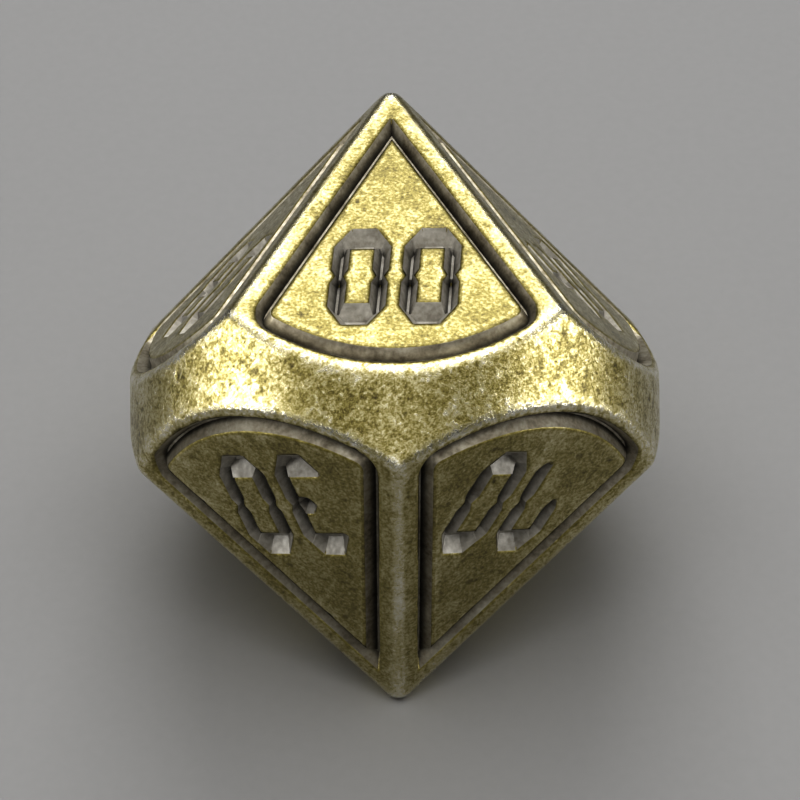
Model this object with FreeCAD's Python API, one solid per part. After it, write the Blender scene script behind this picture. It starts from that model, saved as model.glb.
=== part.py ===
import FreeCAD, Part
import math
import os

from FreeCAD import Matrix, Placement, Rotation, Vector

# Ten-sided percentile die in antiqued cast metal, in millimetres.
#
# The die frame has its centre at the origin and its two points on Z. Ten flat faces, five round
# each point and staggered by half a step, are cut off at the equator by a cylindrical band. The
# finished parts are then laid down so that the face numbered 90 rests on Z = 0 and the face
# numbered 00 is level on top.

# Casting
BAND_RADIUS = 8.5
POLE_HEIGHT = 10.03
FACE_TILT = math.radians(48.15)
FACES_PER_POLE = 5
EDGE_ROUND = 0.50

# Border groove round each face: offsets are measured in from the ridges and from the band
BORDER_RIDGE_OFFSET = 0.67
BORDER_BAND_OFFSET = 0.19
BORDER_WIDTH = 0.49
BORDER_BAND_WIDTH = 0.40
BORDER_FLOOR_SHARE = 0.12
BORDER_OUTER_CORNER = 0.95
BORDER_INNER_CORNER = 0.35

# Numerals: two upright figures on each face, made of tapered strokes
FIGURE_HALF_WIDTH = 0.87
FIGURE_HALF_HEIGHT = 2.08
FIGURE_SPACING = 2.13
FIGURE_DROP = 1.36
FIGURE_SLANT = 0.085
UPRIGHT_WIDTH = 0.51
CROSSBAR_WIDTH = 0.94
MIDDLE_BAR_WIDTH = 0.70
SHORT_BAR_END = -0.20
FLAT_FLOOR = 0.08
NECK_WIDTH = 0.17
NECK_OVERLAP = 0.06
NECK_TAPER = 0.30
BAR_HEEL = 0.15
BAR_SHOULDER = 0.13
BAR_CREST_SHARE = 0.45
UPRIGHT_CUT_ACROSS = 0.19
UPRIGHT_CUT_ALONG = 0.33
MIDDLE_BAR_POINT_SHARE = 0.7

# How far the walls at a stroke's ends lean in at full depth; its long walls meet at the floor
END_LEAN = 0.12
MIDDLE_BAR_END_LEAN = 0.20
UPRIGHT_CUT_LEAN = 0.24
UPRIGHT_TOP_LEAN = 0.30
BAR_SHOULDER_LEAN = 0.25
BAR_CREST_LEAN = 0.32

# Recesses and the blackened lacquer that stays in them
RECESS_DEPTH = 0.55
LACQUER_POOL = 0.12
WORN_DEPTH = 0.03
CLEARANCE_ABOVE = 0.40
ISLAND_OVERRUN = 1.2

OPENING_DEPTH = RECESS_DEPTH - LACQUER_POOL
FACE_DISTANCE = POLE_HEIGHT * math.cos(FACE_TILT)
POLE_IN_FACE = POLE_HEIGHT * math.sin(FACE_TILT)
RIDGE_HALF_ANGLE = math.atan(math.tan(math.pi / FACES_PER_POLE) * math.cos(FACE_TILT))
BIG = 4.0 * BAND_RADIUS

# Azimuth of each face from the front, in degrees, and the number cut into it
UPPER_NUMBERS = {0: "00", 72: "40", 144: "60", 216: "20", 288: "80"}
LOWER_NUMBERS = {36: "70", 108: "10", 180: "90", 252: "50", 324: "30"}

FIGURE_STROKES = {
    "0": ("top", "upper_left", "upper_right", "lower_left", "lower_right", "bottom"),
    "1": ("upper_right", "lower_right"),
    "2": ("top", "upper_right", "middle", "lower_left", "bottom"),
    "3": ("top", "upper_right", "short_middle", "lower_right", "bottom"),
    "4": ("upper_left", "upper_right", "middle", "lower_right"),
    "5": ("top", "upper_left", "middle", "lower_right", "bottom"),
    "6": ("top", "upper_left", "middle", "lower_left", "lower_right", "bottom"),
    "7": ("top", "upper_left", "upper_right", "lower_right"),
    "8": ("top", "upper_left", "upper_right", "middle", "lower_left", "lower_right", "bottom"),
    "9": ("top", "upper_left", "upper_right", "middle", "lower_right", "bottom"),
}


def half_space(point, normal):
    """A large block that fills everything on the normal's side of a plane."""
    block = Part.makeBox(2 * BIG, 2 * BIG, BIG, Vector(-BIG, -BIG, 0))
    block.Placement = Placement(point, Rotation(Vector(0, 0, 1), normal))
    return block


def face_placement(azimuth, upper):
    """Carries face coordinates (u right, v to the near point, w outward) to the die frame."""
    side = 1.0 if upper else -1.0
    angle = math.radians(azimuth)
    outward = Vector(math.sin(angle), -math.cos(angle), 0)
    up = Vector(0, 0, side)
    normal = outward * math.sin(FACE_TILT) + up * math.cos(FACE_TILT)
    to_pole = up * math.sin(FACE_TILT) - outward * math.cos(FACE_TILT)
    right = to_pole.cross(normal)
    foot = normal * FACE_DISTANCE
    matrix = Matrix(
        right.x, to_pole.x, normal.x, foot.x,
        right.y, to_pole.y, normal.y, foot.y,
        right.z, to_pole.z, normal.z, foot.z,
        0, 0, 0, 1,
    )
    return Placement(matrix)


def all_faces():
    """(number, placement) of the ten faces."""
    faces = []
    for azimuth, number in UPPER_NUMBERS.items():
        faces.append((number, face_placement(azimuth, True)))
    for azimuth, number in LOWER_NUMBERS.items():
        faces.append((number, face_placement(azimuth, False)))
    return faces


def cast_blank(faces):
    """The die without its recesses: ten faces, a round band, softened edges and points."""
    blank = Part.makeCylinder(BAND_RADIUS, 2 * POLE_HEIGHT, Vector(0, 0, -POLE_HEIGHT))
    for number, placement in faces:
        normal = placement.Rotation.multVec(Vector(0, 0, 1))
        blank = blank.cut(half_space(placement.Base, normal))
    soft_edges = []
    for edge in blank.Edges:
        is_band_seam = isinstance(edge.Curve, Part.Line) and edge.Length < BAND_RADIUS
        if not is_band_seam:
            soft_edges.append(edge)
    return blank.makeFillet(EDGE_ROUND, soft_edges)


def border_outline(ridge_offset, band_radius, height):
    """Closed outline of two straight sides and the arc beside the band, at one height."""
    peak = POLE_IN_FACE - ridge_offset / math.sin(RIDGE_HALF_ANGLE)
    slope_u = math.sin(RIDGE_HALF_ANGLE)
    slope_v = math.cos(RIDGE_HALF_ANGLE) * math.cos(FACE_TILT)
    start_v = (POLE_IN_FACE - peak) * math.cos(FACE_TILT)
    # distance along the side at which it meets the ellipse round the pole
    a = slope_u ** 2 + slope_v ** 2
    b = 2 * start_v * slope_v
    c = start_v ** 2 - band_radius ** 2
    reach = (-b + math.sqrt(b ** 2 - 4 * a * c)) / (2 * a)
    corner_u = reach * math.sin(RIDGE_HALF_ANGLE)
    corner_v = peak - reach * math.cos(RIDGE_HALF_ANGLE)
    top = Vector(0, peak, height)
    left = Vector(-corner_u, corner_v, height)
    right = Vector(corner_u, corner_v, height)
    bottom_v = POLE_IN_FACE - band_radius / math.cos(FACE_TILT)
    ellipse = Part.Ellipse(
        Vector(0, bottom_v, height),
        Vector(band_radius, POLE_IN_FACE, height),
        Vector(0, POLE_IN_FACE, height),
    )
    arc = Part.ArcOfEllipse(ellipse, ellipse.parameter(left), ellipse.parameter(right))
    return Part.Wire([
        Part.LineSegment(top, left).toShape(),
        arc.toShape(),
        Part.LineSegment(right, top).toShape(),
    ])


def border_frustum(inset_share, lean, depth, reach, corner_radius):
    """Solid inside the border outline: its sides lean by a share of the groove's width over the
    depth, and its two corners at the band are rounded."""
    wires = []
    for height in (-depth * reach, CLEARANCE_ABOVE * reach):
        share = inset_share - lean * height / depth
        ridge_offset = BORDER_RIDGE_OFFSET + BORDER_WIDTH * share
        band_radius = BAND_RADIUS - BORDER_BAND_OFFSET - BORDER_BAND_WIDTH * share
        wires.append(border_outline(ridge_offset, band_radius, height))
    solid = Part.makeLoft(wires, True, True)
    corners = []
    for edge in solid.Edges:
        first, last = [vertex.Point for vertex in edge.Vertexes]
        if abs(first.z - last.z) > CLEARANCE_ABOVE and first.y < 0:
            corners.append(edge)
    return solid.makeFillet(corner_radius, corners)


def border_recess(depth):
    """V-shaped groove round a face: an outer frustum less an inner island."""
    lean = (1.0 - BORDER_FLOOR_SHARE) / 2
    outer = border_frustum(0.0, lean, depth, 1.0, BORDER_OUTER_CORNER)
    island = border_frustum(1.0, -lean, depth, ISLAND_OVERRUN, BORDER_INNER_CORNER)
    return outer.cut(island)


def stroke(outline, insets, depth):
    """Convex recess: each wall leans in by its inset at the full depth."""
    corner = Vector(-BIG / 4, -BIG / 4, -depth)
    solid = Part.makeBox(BIG / 2, BIG / 2, depth + CLEARANCE_ABOVE, corner)
    for index, inset in enumerate(insets):
        start = Vector(*outline[index], 0)
        end = Vector(*outline[(index + 1) % len(outline)], 0)
        along = (end - start).normalize()
        lean = math.atan2(inset, depth)
        outward = Vector(along.y, -along.x, 0)
        normal = outward * math.cos(lean) - Vector(0, 0, math.sin(lean))
        solid = solid.cut(half_space(start, normal))
    return solid


def slanted(points, flip_u=False, flip_v=False):
    """Mirrors an outline as asked, keeps it anticlockwise, and leans it like an italic."""
    moved = []
    for u, v in points:
        u = -u if flip_u else u
        v = -v if flip_v else v
        moved.append((u + FIGURE_SLANT * v, v))
    if flip_u != flip_v:
        moved.reverse()
    return moved


def flipped_insets(insets, flip_u, flip_v):
    """Insets in the edge order that slanted() gives the outline."""
    if flip_u == flip_v:
        return insets
    reversed_insets = list(reversed(insets))
    return reversed_insets[1:] + reversed_insets[:1]


def end_bar(flip_v, depth):
    """Top or bottom bar, with its outer corners cut off."""
    inner = FIGURE_HALF_HEIGHT - CROSSBAR_WIDTH
    shoulder = inner + BAR_SHOULDER
    heel = FIGURE_HALF_WIDTH - BAR_HEEL
    crest = FIGURE_HALF_WIDTH * BAR_CREST_SHARE
    outline = [
        (-heel, inner),
        (heel, inner),
        (FIGURE_HALF_WIDTH, shoulder),
        (crest, FIGURE_HALF_HEIGHT),
        (-crest, FIGURE_HALF_HEIGHT),
        (-FIGURE_HALF_WIDTH, shoulder),
    ]
    flat = (CROSSBAR_WIDTH - FLAT_FLOOR) / 2
    insets = [flat, BAR_SHOULDER_LEAN, BAR_CREST_LEAN, flat, BAR_CREST_LEAN, BAR_SHOULDER_LEAN]
    return stroke(slanted(outline, False, flip_v), flipped_insets(insets, False, flip_v), depth)


def upright(flip_u, flip_v, depth):
    """Upper right upright, or its mirror image: it runs from a crossbar to the narrow neck."""
    outer = FIGURE_HALF_WIDTH
    inner = outer - UPRIGHT_WIDTH
    middle = (outer + inner) / 2
    shoulder = FIGURE_HALF_HEIGHT - CROSSBAR_WIDTH + BAR_SHOULDER
    top = shoulder + UPRIGHT_CUT_ALONG
    outline = [
        (middle + NECK_WIDTH / 2, -NECK_OVERLAP),
        (outer, NECK_TAPER),
        (outer, shoulder),
        (outer - UPRIGHT_CUT_ACROSS, top),
        (inner, top),
        (inner, NECK_TAPER),
        (middle - NECK_WIDTH / 2, -NECK_OVERLAP),
    ]
    flat = (UPRIGHT_WIDTH - FLAT_FLOOR) / 2
    insets = [END_LEAN, flat, UPRIGHT_CUT_LEAN, UPRIGHT_TOP_LEAN, flat, END_LEAN, END_LEAN]
    outline = slanted(outline, flip_u, flip_v)
    return stroke(outline, flipped_insets(insets, flip_u, flip_v), depth)


def middle_bar(left_end, depth):
    """Bar across the waist of a figure, pointed at both ends."""
    right_end = FIGURE_HALF_WIDTH - UPRIGHT_WIDTH / 2
    half = MIDDLE_BAR_WIDTH / 2
    point = half * MIDDLE_BAR_POINT_SHARE
    outline = [
        (right_end, 0),
        (right_end - point, half),
        (left_end + point, half),
        (left_end, 0),
        (left_end + point, -half),
        (right_end - point, -half),
    ]
    flat = half - FLAT_FLOOR / 2
    lean = MIDDLE_BAR_END_LEAN
    insets = [lean, flat, lean, lean, flat, lean]
    return stroke(slanted(outline), insets, depth)


def figure_recess(figure, depth):
    """All the strokes of one figure joined into one recess."""
    makers = {
        "top": lambda: end_bar(False, depth),
        "bottom": lambda: end_bar(True, depth),
        "middle": lambda: middle_bar(UPRIGHT_WIDTH / 2 - FIGURE_HALF_WIDTH, depth),
        "short_middle": lambda: middle_bar(SHORT_BAR_END, depth),
        "upper_right": lambda: upright(False, False, depth),
        "upper_left": lambda: upright(True, False, depth),
        "lower_right": lambda: upright(False, True, depth),
        "lower_left": lambda: upright(True, True, depth),
    }
    strokes = [makers[name]() for name in FIGURE_STROKES[figure]]
    joined = strokes[0].multiFuse(strokes[1:])
    return joined.removeSplitter()


def number_recess(number, depth):
    """The recesses of a two-figure number, centred across the face."""
    recesses = []
    for index, figure in enumerate(number):
        recess = figure_recess(figure, depth)
        recess.translate(Vector((index - 0.5) * FIGURE_SPACING, -FIGURE_DROP, 0))
        recesses.append(recess)
    return recesses


def lacquer(recess, opening):
    """Blackened lining between a recess and the shallower opening left in it: pooled at the
    bottom, thinning up the walls, and worn off near the face."""
    lining = recess.cut(opening)
    return lining.cut(half_space(Vector(0, 0, -WORN_DEPTH), Vector(0, 0, 1)))


def resting_placement():
    """Lays the die down with face 90 on Z = 0 and face 00 level on top."""
    turn = Rotation(Vector(1, 0, 0), -math.degrees(FACE_TILT))
    return Placement(Vector(0, 0, FACE_DISTANCE), turn)


def save(shape, node):
    """Writes one sub-part in its resting place."""
    placed = shape.copy()
    placed.Placement = resting_placement().multiply(placed.Placement)
    placed.exportStep("parts/" + node + ".step")
    print(node, "solids", len(placed.Solids), "valid", placed.isValid(),
          "volume", round(placed.Volume, 4))


def main():
    os.makedirs("parts", exist_ok=True)
    faces = all_faces()
    body = cast_blank(faces)
    border = border_recess(RECESS_DEPTH)
    border_lacquer = lacquer(border, border_recess(OPENING_DEPTH))
    cutters = []
    for number, placement in faces:
        groove = border.copy()
        groove.Placement = placement
        cutters.append(groove)
        lining = border_lacquer.copy()
        lining.Placement = placement
        save(lining, "border_lacquer_" + number)
        linings = []
        openings = number_recess(number, OPENING_DEPTH)
        for recess, opening in zip(number_recess(number, RECESS_DEPTH), openings):
            lining = lacquer(recess, opening)
            lining.Placement = placement.multiply(lining.Placement)
            linings.append(lining)
            recess.Placement = placement.multiply(recess.Placement)
            cutters.append(recess)
        save(Part.makeCompound(linings), "number_lacquer_" + number)
    body = body.cut(cutters)
    save(body, "die_body")


main()
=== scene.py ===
"""Looks of a ten-sided percentile die in antique brass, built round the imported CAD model."""

import math

import bpy
import numpy as np
from mathutils import Matrix, Vector, noise
from mathutils.bvhtree import BVHTree


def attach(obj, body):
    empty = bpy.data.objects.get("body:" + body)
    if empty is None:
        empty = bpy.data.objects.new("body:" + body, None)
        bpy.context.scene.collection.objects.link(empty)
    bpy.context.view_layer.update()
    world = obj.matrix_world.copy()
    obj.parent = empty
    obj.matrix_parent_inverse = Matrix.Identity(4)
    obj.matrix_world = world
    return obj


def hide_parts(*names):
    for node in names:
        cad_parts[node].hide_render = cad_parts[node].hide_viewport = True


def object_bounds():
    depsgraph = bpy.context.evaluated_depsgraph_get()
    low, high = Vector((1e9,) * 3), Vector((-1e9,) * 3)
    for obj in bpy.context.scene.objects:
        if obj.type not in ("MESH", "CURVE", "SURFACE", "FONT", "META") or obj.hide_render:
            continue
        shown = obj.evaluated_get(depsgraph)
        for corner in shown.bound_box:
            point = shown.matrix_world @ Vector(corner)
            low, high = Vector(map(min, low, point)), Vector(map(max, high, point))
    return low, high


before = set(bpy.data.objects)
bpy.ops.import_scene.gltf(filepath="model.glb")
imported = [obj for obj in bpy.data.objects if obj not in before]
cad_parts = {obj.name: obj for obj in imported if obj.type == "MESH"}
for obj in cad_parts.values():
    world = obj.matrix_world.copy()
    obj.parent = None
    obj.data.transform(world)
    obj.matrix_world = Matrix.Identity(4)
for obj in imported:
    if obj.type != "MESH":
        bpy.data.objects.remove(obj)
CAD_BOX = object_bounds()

MM = 0.001  # metres in a millimetre

# ---------------------------------------------------------------- camera
VIEW_AZIMUTH = -1.03  # degrees; 0 looks along +Y
VIEW_ELEVATION = 46.95
VIEW_DISTANCE = 78.67 * MM
VIEW_SHIFT = Vector((0.166, -0.131, -0.120)) * MM  # aim point from the middle of the die
LENS = 109.6
SENSOR = 36.0
CLIP_START = 1 * MM
CLIP_END = 20.0
# contrast of a bright, clipped studio photograph
GAMMA = 0.75
EXPOSURE = 0.35


def direction(azimuth, elevation):
    a, e = math.radians(azimuth), math.radians(elevation)
    return Vector((math.sin(a) * math.cos(e), -math.cos(a) * math.cos(e), math.sin(e)))


MIDDLE = (CAD_BOX[0] + CAD_BOX[1]) / 2

camera_data = bpy.data.cameras.new("camera")
camera_data.lens = LENS
camera_data.sensor_width = SENSOR
camera_data.clip_start = CLIP_START
camera_data.clip_end = CLIP_END
camera = bpy.data.objects.new("camera", camera_data)
bpy.context.scene.collection.objects.link(camera)
back = direction(VIEW_AZIMUTH, VIEW_ELEVATION)
camera.location = MIDDLE + VIEW_SHIFT + back * VIEW_DISTANCE
camera.rotation_mode = "QUATERNION"
camera.rotation_quaternion = (-back).to_track_quat("-Z", "Y")
bpy.context.scene.camera = camera
bpy.context.scene.view_settings.view_transform = "Standard"
bpy.context.scene.view_settings.gamma = GAMMA
bpy.context.scene.view_settings.exposure = EXPOSURE

# ---------------------------------------------------------------- the die's own directions
FACE_TILT = math.radians(48.15)  # between a pole and the normal of a face beside it
# The die lies on one face, so its pole axis leans by the face tilt about X.
LEAN = Matrix.Rotation(-FACE_TILT, 3, "X")
POLE = LEAN @ Vector((0, 0, 1))
BAND_RADIUS = 8.5  # mm


# ---------------------------------------------------------------- node helpers
class Nodes:
    """Builds a node tree in short calls."""

    def __init__(self, name):
        self.material = bpy.data.materials.new(name)
        self.material.use_nodes = True
        self.tree = self.material.node_tree
        self.tree.nodes.clear()

    def add(self, kind, **settings):
        node = self.tree.nodes.new(kind)
        for key, value in settings.items():
            setattr(node, key, value)
        return node

    def put(self, socket, value):
        """Links a socket, or sets its value, as the value given asks for."""
        if isinstance(value, bpy.types.NodeSocket):
            self.tree.links.new(value, socket)
        else:
            socket.default_value = value

    def math(self, operation, *values):
        node = self.add("ShaderNodeMath", operation=operation)
        for socket, value in zip(node.inputs, values):
            self.put(socket, value)
        return node.outputs[0]

    def step(self, value, low, high, to_low=0.0, to_high=1.0):
        """Smooth step of a value between low and high."""
        node = self.add("ShaderNodeMapRange", interpolation_type="SMOOTHSTEP")
        self.put(node.inputs["Value"], value)
        node.inputs["From Min"].default_value = low
        node.inputs["From Max"].default_value = high
        node.inputs["To Min"].default_value = to_low
        node.inputs["To Max"].default_value = to_high
        return node.outputs[0]

    def mix(self, factor, a, b):
        """Colour from a at factor 0 to b at factor 1."""
        node = self.add("ShaderNodeMix", data_type="RGBA")
        self.put(node.inputs[0], factor)
        self.put(node.inputs[6], a)
        self.put(node.inputs[7], b)
        return node.outputs[2]

    def noise(self, vector, scale, detail=3.0, rough=0.55, distort=0.0):
        node = self.add("ShaderNodeTexNoise")
        self.put(node.inputs["Vector"], vector)
        node.inputs["Scale"].default_value = scale
        node.inputs["Detail"].default_value = detail
        node.inputs["Roughness"].default_value = rough
        node.inputs["Distortion"].default_value = distort
        return node.outputs["Fac"]

    def attribute(self, name):
        return self.add("ShaderNodeAttribute", attribute_name=name).outputs["Fac"]

    def coordinates(self):
        """Object coordinates in millimetres."""
        place = self.add("ShaderNodeTexCoord").outputs["Object"]
        scaled = self.add("ShaderNodeVectorMath", operation="SCALE")
        self.put(scaled.inputs[0], place)
        scaled.inputs["Scale"].default_value = 1 / MM
        return scaled.outputs[0]

    def stretched(self, vector, angles, scale):
        """Coordinates turned by angles in degrees and divided by scale, for long thin marks."""
        node = self.add("ShaderNodeMapping", vector_type="TEXTURE")
        self.put(node.inputs["Vector"], vector)
        node.inputs["Rotation"].default_value = [math.radians(a) for a in angles]
        node.inputs["Scale"].default_value = scale
        return node.outputs[0]

    def ramp(self, value, stops):
        """Colour from (place, colour) stops."""
        node = self.add("ShaderNodeValToRGB")
        self.put(node.inputs[0], value)
        points = node.color_ramp.elements
        while len(points) < len(stops):
            points.new(0.5)
        for point, (place, colour) in zip(points, stops):
            point.position = place
            point.color = (*colour, 1.0)
        return node.outputs[0]

    def bump(self, height, distance):
        node = self.add("ShaderNodeBump")
        node.inputs["Strength"].default_value = 1.0
        node.inputs["Distance"].default_value = distance
        self.put(node.inputs["Height"], height)
        return node.outputs[0]

    def finish(self, shader):
        out = self.add("ShaderNodeOutputMaterial")
        self.put(out.inputs["Surface"], shader.outputs[0])
        return self.material


# ---------------------------------------------------------------- materials
BASE_TONE = 0.465  # tone runs from tarnish at 0.3 to rubbed metal at 0.8
SPECK_TONE = 0.38
FLAT_MOTTLE = 0.26
BAND_MOTTLE = 0.74
CLOUD_TONE = 0.14
WEAR_TONE = 0.15
BAND_TONE = 0.02
RIM_TONE = 0.035
SCRATCH_TONE = 0.30
SCRATCH_START = 0.56
RIM_ROUGHNESS = 0.12
BRASS_BUMP = 0.013 * MM
LACQUER_BUMP = 0.010 * MM
# reach of the ambient occlusion that paints shade into the lacquer in the recesses
SHADE_REACH = 0.7 * MM


def brass():
    """Antique brass plate: pale where it is rubbed, olive and brown where the tarnish stays."""
    n = Nodes("antique_brass")
    mm = n.coordinates()
    wear = n.attribute("wear")
    band = n.attribute("band")
    rim = n.attribute("rim")

    speck = n.noise(mm, 9.5, 4.0, 0.68)
    fleck = n.noise(mm, 5.2, 5.0, 0.70, 0.9)
    blotch = n.noise(mm, 1.8, 5.0, 0.62, 0.4)
    cloud = n.noise(mm, 0.45, 2.0, 0.5)
    scratch_a = n.noise(n.stretched(mm, (20, 35, 50), (0.05, 0.05, 1.1)), 1.0, 3.0, 0.6)
    scratch_b = n.noise(n.stretched(mm, (70, -25, -40), (0.04, 0.04, 0.8)), 1.0, 3.0, 0.6)
    scratch = n.math("MAXIMUM", scratch_a, scratch_b)

    tone = n.math("MULTIPLY_ADD", n.math("SUBTRACT", speck, 0.5), SPECK_TONE, BASE_TONE)
    coarse = n.math("ADD", n.math("MULTIPLY", fleck, 0.62), n.math("MULTIPLY", blotch, 0.38))
    coarse = n.math("SUBTRACT", coarse, 0.5)
    mottle = n.step(band, 0.0, 1.0, FLAT_MOTTLE, BAND_MOTTLE)
    tone = n.math("ADD", tone, n.math("MULTIPLY", coarse, mottle))
    tone = n.math("ADD", tone, n.math("MULTIPLY", n.math("SUBTRACT", cloud, 0.5), CLOUD_TONE))
    tone = n.math("ADD", tone, n.math("MULTIPLY", wear, WEAR_TONE))
    tone = n.math("ADD", tone, n.math("MULTIPLY", band, BAND_TONE))
    tone = n.math("SUBTRACT", tone, n.math("MULTIPLY", rim, RIM_TONE))
    streak = n.math("MULTIPLY", n.math("SUBTRACT", scratch, SCRATCH_START), band)
    tone = n.math("ADD", tone, n.math("MULTIPLY", streak, SCRATCH_TONE))
    colour = n.ramp(
        tone,
        [
            (0.30, (0.050, 0.038, 0.010)),
            (0.39, (0.125, 0.101, 0.024)),
            (0.47, (0.270, 0.230, 0.066)),
            (0.56, (0.525, 0.472, 0.270)),
            (0.66, (0.745, 0.718, 0.590)),
            (0.78, (0.910, 0.900, 0.855)),
        ],
    )
    rough = n.step(tone, 0.34, 0.66, 0.46, 0.24)
    rough = n.math("MULTIPLY_ADD", rim, RIM_ROUGHNESS, rough)
    height = n.math("MULTIPLY_ADD", fleck, 0.5, speck)
    height = n.math("MULTIPLY_ADD", streak, 0.9, height)
    bumped = n.bump(height, BRASS_BUMP)
    shader = n.add("ShaderNodeBsdfPrincipled")
    shader.inputs["Metallic"].default_value = 1.0
    shader.inputs["Coat Weight"].default_value = 0.55
    shader.inputs["Coat Roughness"].default_value = 0.22
    n.put(shader.inputs["Base Color"], colour)
    n.put(shader.inputs["Roughness"], rough)
    n.put(shader.inputs["Normal"], bumped)
    n.put(shader.inputs["Coat Normal"], bumped)
    return n.finish(shader)


# painted shade: the black that ambient occlusion mixes into the lacquer in deep, narrow recesses
PAINTED_SHADE_BLACK = (0.014, 0.012, 0.009, 1.0)


def lacquer(name, stops, metal):
    """Antiquing lacquer left in the recesses: satin brown-grey, rubbed paler in spots, darkened by
    painted shade where a recess is deep and narrow.
    """
    n = Nodes(name)
    mm = n.coordinates()
    speck = n.noise(mm, 6.0, 4.0, 0.6)
    cloud = n.noise(mm, 1.1, 3.0, 0.55)
    tone = n.math("ADD", n.math("MULTIPLY", speck, 0.45), n.math("MULTIPLY", cloud, 0.55))
    bumped = n.bump(tone, LACQUER_BUMP)
    # painted shade: ambient occlusion darkens the lacquer towards black where a recess is narrow and
    # deep; the lacquer's own colour comes from the ramp
    occlusion_shade = n.add("ShaderNodeAmbientOcclusion", samples=8)
    occlusion_shade.inputs["Distance"].default_value = SHADE_REACH
    unshaded_share = n.step(occlusion_shade.outputs["AO"], 0.20, 0.62, 0.0, 1.0)
    colour = n.mix(unshaded_share, PAINTED_SHADE_BLACK, n.ramp(tone, stops))
    shader = n.add("ShaderNodeBsdfPrincipled")
    shader.inputs["Metallic"].default_value = metal
    shader.inputs["Specular IOR Level"].default_value = 0.3
    n.put(shader.inputs["Base Color"], colour)
    n.put(shader.inputs["Roughness"], n.step(tone, 0.35, 0.65, 0.52, 0.40))
    n.put(shader.inputs["Normal"], bumped)
    return n.finish(shader)


def border_lacquer():
    return lacquer(
        "border_lacquer",
        [
            (0.34, (0.170, 0.147, 0.102)),
            (0.47, (0.330, 0.298, 0.230)),
            (0.58, (0.460, 0.428, 0.345)),
            (0.72, (0.640, 0.610, 0.520)),
        ],
        0.78,
    )


def number_lacquer():
    return lacquer(
        "number_lacquer",
        [
            (0.34, (0.260, 0.234, 0.188)),
            (0.47, (0.400, 0.372, 0.312)),
            (0.58, (0.520, 0.490, 0.425)),
            (0.72, (0.680, 0.655, 0.590)),
        ],
        0.08,
    )


def backdrop():
    """Matt pale grey studio floor."""
    n = Nodes("studio_floor")
    mm = n.coordinates()
    grain = n.noise(mm, 2.5, 3.0, 0.5)
    colour = n.ramp(grain, [(0.3, (0.41, 0.405, 0.40)), (0.7, (0.42, 0.415, 0.41))])
    shader = n.add("ShaderNodeBsdfPrincipled")
    shader.inputs["Roughness"].default_value = 0.85
    n.put(shader.inputs["Base Color"], colour)
    return n.finish(shader)


# ---------------------------------------------------------------- body mesh
VOXEL = 0.05  # mm
LIP_TURN = 0.85  # neighbouring normals closer than this cosine are on one smooth face
LIP_PASSES = 7
LIP_SHARE = 0.55
WAVE_DEPTH = 0.010  # mm
PIT_DEPTH = 0.022  # mm
PIT_START = 0.25
NICKS = 210
LIP_NICKS = 170  # how many of the nicks are on lips
NICK_RADIUS = (0.10, 0.26)  # mm
NICK_DEPTH = (0.008, 0.030)  # mm
NICK_STRETCH = (0.7, 1.3)
RIM_PASSES = 3
WEAR_PASSES = 5
FULL_WEAR = 0.0015  # mm that a fully rubbed place stands proud
RIM_WEAR_LOSS = 0.85
BAND_FADE_START = 0.35  # mm inside the band's radius
BAND_FADE = 0.25  # mm
TRIANGLES = 190000


def arrays(mesh):
    """Vertex places and edge pairs of a mesh."""
    co = np.empty(len(mesh.vertices) * 3, np.float32)
    mesh.vertices.foreach_get("co", co)
    pairs = np.empty(len(mesh.edges) * 2, np.int32)
    mesh.edges.foreach_get("vertices", pairs)
    return co.reshape(-1, 3).astype(float), pairs.reshape(-1, 2)


def vertex_normals(mesh):
    out = np.empty(len(mesh.vertices) * 3, np.float32)
    mesh.vertex_normals.foreach_get("vector", out)
    return out.reshape(-1, 3).astype(float)


def neighbour_mean(values, pairs, count):
    """Mean over each vertex's neighbours of a per-vertex array."""
    first, second = pairs[:, 0], pairs[:, 1]
    degree = np.bincount(first, minlength=count) + np.bincount(second, minlength=count)
    flat = values.reshape(count, -1)
    total = np.empty_like(flat)
    for k in range(flat.shape[1]):
        total[:, k] = np.bincount(first, flat[second, k], count)
        total[:, k] += np.bincount(second, flat[first, k], count)
    return (total / np.maximum(degree, 1)[:, None]).reshape(values.shape)


def noise_at(points, scale, shift):
    """Smooth noise from -1 to 1 at points in millimetres."""
    moved = points * scale + shift
    return np.array([noise.noise(p) for p in moved])


def evaluated(obj):
    """Mesh of an object with its modifiers applied."""
    graph = bpy.context.evaluated_depsgraph_get()
    return bpy.data.meshes.new_from_object(obj.evaluated_get(graph))


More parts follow.
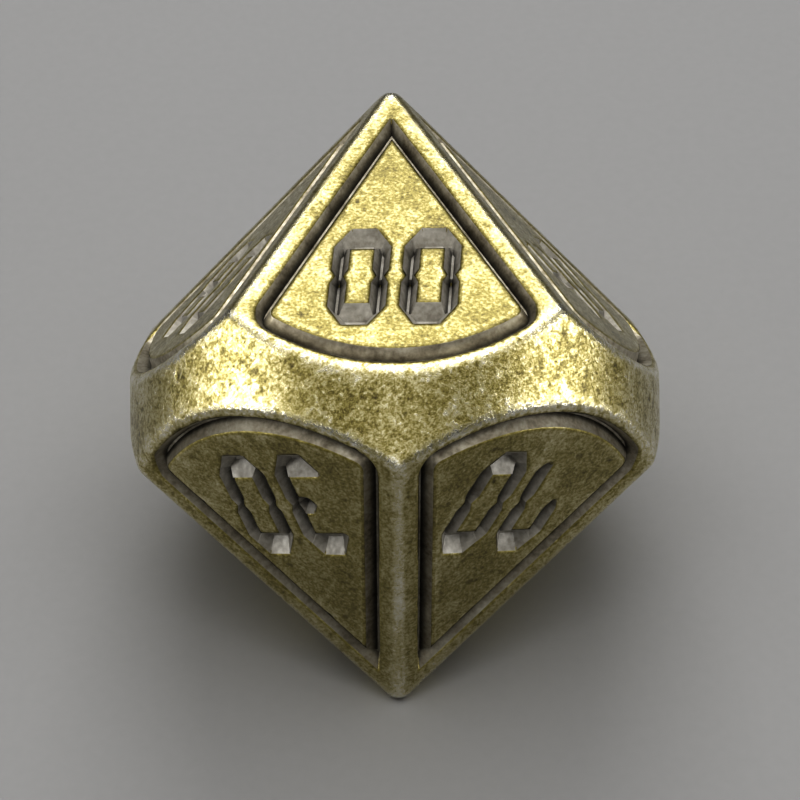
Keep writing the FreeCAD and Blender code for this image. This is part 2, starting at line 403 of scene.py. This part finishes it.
def cast_surface(source):
    """The casting's surface: even fine mesh on the CAD shape, soft lips, shallow dents and nicks."""
    cad = source.data.copy()
    cad.transform(Matrix.Scale(1 / MM, 4))
    tree = BVHTree.FromPolygons(
        [v.co.copy() for v in cad.vertices], [tuple(p.vertices) for p in cad.polygons]
    )
    blank = bpy.data.objects.new("blank", cad)
    bpy.context.scene.collection.objects.link(blank)
    voxels = blank.modifiers.new("voxels", "REMESH")
    voxels.mode = "VOXEL"
    voxels.voxel_size = VOXEL
    mesh = evaluated(blank)
    bpy.data.objects.remove(blank)

    places, pairs = arrays(mesh)
    count = len(places)
    snapped = np.empty_like(places)
    facing = np.empty_like(places)
    for i, p in enumerate(places):
        hit, normal, _, _ = tree.find_nearest(p)
        snapped[i] = hit
        facing[i] = normal

    # soft lips where two flat faces meet at a sharp edge
    turn = np.einsum("ij,ij->i", facing[pairs[:, 0]], facing[pairs[:, 1]])
    lip = np.zeros(count)
    sharp = pairs[turn < LIP_TURN].ravel()
    lip[sharp] = 1.0
    lip = np.maximum(lip, neighbour_mean(lip, pairs, count) > 0)
    share = LIP_SHARE * neighbour_mean(lip, pairs, count)[:, None]
    for _ in range(LIP_PASSES):
        snapped += share * (neighbour_mean(snapped, pairs, count) - snapped)

    mesh.vertices.foreach_set("co", snapped.astype(np.float32).ravel())
    mesh.update()
    normals = vertex_normals(mesh)

    # shallow waves and pits of a small casting
    wave = noise_at(snapped, 0.8, (3.1, 7.7, 1.9))
    pit = noise_at(snapped, 3.1, (11.3, 2.2, 5.4))
    move = WAVE_DEPTH * wave - PIT_DEPTH * np.clip(pit - PIT_START, 0, None)
    chance = np.random.default_rng(7)
    lips = np.flatnonzero(lip)
    for k in range(NICKS):
        at = lips[chance.integers(len(lips))] if k < LIP_NICKS else chance.integers(count)
        size = chance.uniform(*NICK_RADIUS)
        depth = chance.uniform(*NICK_DEPTH)
        away = np.linalg.norm((snapped - snapped[at]) * chance.uniform(*NICK_STRETCH, 3), axis=1)
        near = away < size
        move[near] -= depth * (1 - (away[near] / size) ** 2) ** 2
    final = snapped + normals * np.minimum(move, 0.0)[:, None]
    mesh.vertices.foreach_set("co", final.astype(np.float32).ravel())
    mesh.update()

    # how far each place stands proud of its surroundings
    normals = vertex_normals(mesh)
    proud = np.einsum("ij,ij->i", final - neighbour_mean(final, pairs, count), normals)
    for _ in range(WEAR_PASSES):
        proud = 0.5 * proud + 0.5 * neighbour_mean(proud, pairs, count)
    rim = lip.astype(float)
    for _ in range(RIM_PASSES):
        rim = np.maximum(lip, neighbour_mean(rim, pairs, count))
    wear = np.clip(proud / FULL_WEAR, -1, 1) * (1 - RIM_WEAR_LOSS * rim)
    pole = np.array(POLE)
    middle = np.array(MIDDLE) / MM
    rel = final - middle
    radius = np.linalg.norm(rel - np.outer(rel @ pole, pole), axis=1)
    band = np.clip((radius - BAND_RADIUS + BAND_FADE_START) / BAND_FADE, 0, 1)
    for name, values in (("wear", wear), ("band", band), ("rim", rim)):
        layer = mesh.attributes.new(name, "FLOAT", "POINT")
        layer.data.foreach_set("value", values.astype(np.float32))

    body = bpy.data.objects.new("cast_body", mesh)
    bpy.context.scene.collection.objects.link(body)
    corners = body.modifiers.new("triangles", "TRIANGULATE")
    corners.quad_method = "SHORTEST_DIAGONAL"
    thin = body.modifiers.new("thin", "DECIMATE")
    thin.ratio = TRIANGLES / (2 * len(mesh.polygons))
    thinned = evaluated(body)
    body.modifiers.clear()
    body.data = thinned
    thinned.transform(Matrix.Scale(MM, 4))
    thinned.polygons.foreach_set("use_smooth", [True] * len(thinned.polygons))
    return body


def weigh_normals(mesh):
    """Shading normals weighted by face area, so that the broad flats stay flat next to their lips."""
    co, _ = arrays(mesh)
    corners = np.empty(len(mesh.polygons) * 3, np.int32)
    mesh.polygons.foreach_get("vertices", corners)
    corners = corners.reshape(-1, 3)
    a, b, c = (co[corners[:, k]] for k in range(3))
    area = np.cross(b - a, c - a)
    total = np.zeros_like(co)
    for k in range(3):
        for axis in range(3):
            total[:, axis] += np.bincount(corners[:, k], area[:, axis], len(co))
    total /= np.maximum(np.linalg.norm(total, axis=1), 1e-20)[:, None]
    mesh.normals_split_custom_set_from_vertices(total.tolist())


body = cast_surface(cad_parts["die_body"])
weigh_normals(body.data)
body.data.materials.clear()
body.data.materials.append(brass())
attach(body, "root")
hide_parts("die_body")

LININGS = {"border": border_lacquer(), "number": number_lacquer()}
for name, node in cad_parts.items():
    kind = name.split("_")[0]
    if kind in LININGS:
        node.data.materials.clear()
        node.data.materials.append(LININGS[kind])

# ---------------------------------------------------------------- studio
FLOOR_HALF = 1.5
FLOOR_GAP = 0.02 * MM
floor_mesh = bpy.data.meshes.new("floor")
floor_mesh.from_pydata(
    [(x * FLOOR_HALF, y * FLOOR_HALF, 0.0) for x, y in ((-1, -1), (1, -1), (1, 1), (-1, 1))],
    [],
    [(0, 1, 2, 3)],
)
floor_mesh.materials.append(backdrop())
floor = bpy.data.objects.new("floor", floor_mesh)
bpy.context.scene.collection.objects.link(floor)
floor.location.z = CAD_BOX[0].z - FLOOR_GAP


def softbox(name, azimuth, elevation, distance, width, height, power):
    """A rectangular soft light aimed at the middle of the die. Distances in mm, power in watts."""
    data = bpy.data.lights.new(name, "AREA")
    data.shape = "RECTANGLE"
    data.size = width * MM
    data.size_y = height * MM
    data.energy = power
    lamp = bpy.data.objects.new(name, data)
    bpy.context.scene.collection.objects.link(lamp)
    towards = direction(azimuth, elevation)
    lamp.location = MIDDLE + towards * distance * MM
    lamp.visible_camera = False
    lamp.rotation_mode = "QUATERNION"
    lamp.rotation_quaternion = towards.to_track_quat("Z", "Y")
    return lamp


softbox("overhead", 0, 87, 260, 420, 250, 0.53)
softbox("key", 180, 45, 260, 150, 130, 0.200)
# These only give the metal something to reflect.
for reflected in (
    softbox("left_strip", -76, 17, 200, 50, 95, 0.185),
    softbox("right_strip", 78, 15, 200, 50, 95, 0.165),
    softbox("front_fill", -2, 31, 220, 90, 180, 0.080),
    softbox("crown", 180, 72, 250, 230, 90, 0.26),
):
    reflected.visible_diffuse = False

world = bpy.data.worlds.new("studio")
world.use_nodes = True
sky = world.node_tree.nodes["Background"]
sky.inputs["Color"].default_value = (0.85, 0.87, 0.90, 1.0)
sky.inputs["Strength"].default_value = 0.07
bpy.context.scene.world = world
